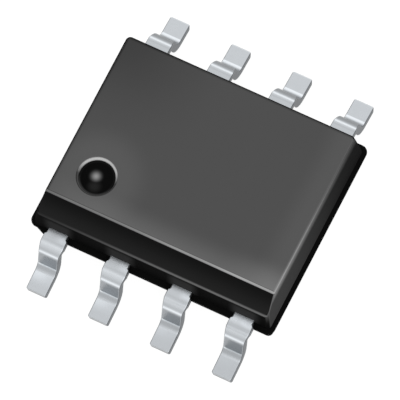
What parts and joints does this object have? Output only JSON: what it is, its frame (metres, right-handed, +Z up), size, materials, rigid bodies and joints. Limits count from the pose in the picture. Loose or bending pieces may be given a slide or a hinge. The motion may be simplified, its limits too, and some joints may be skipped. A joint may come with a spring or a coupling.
{
  "type": "small outline integrated circuit package",
  "caption": "Flat black moulded chip package with a bevelled edge, a round corner mark and formed metal leads along two sides, for soldering to a board's surface.",
  "frame": {"origin": "on the board surface, under the middle of the package", "axes": "+X along the rows of leads, away from the end with the round mark; +Y across the leads, away from the bevelled side; +Z up from the board"},
  "size_m": [0.005, 0.006, 0.0016],
  "materials": {
    "moulding": "fine matt moulded surface",
    "tin": "satin",
    "copper": "satin copper alloy",
    "adhesive": "silver filled",
    "silicon": "polished",
    "gold": "bright gold"
  },
  "bodies": {
    "root": {"moulded_body": "moulding", "lead_1": "tin", "lead_2": "tin", "lead_3": "tin", "lead_4": "tin", "lead_5": "tin", "lead_6": "tin", "lead_7": "tin", "lead_8": "tin", "die_paddle": "copper", "die_attach": "adhesive", "silicon_die": "silicon", "bond_wire_1": "gold", "bond_wire_2": "gold", "bond_wire_3": "gold", "bond_wire_4": "gold", "bond_wire_5": "gold", "bond_wire_6": "gold", "bond_wire_7": "gold", "bond_wire_8": "gold"}
  },
  "joints": []
}
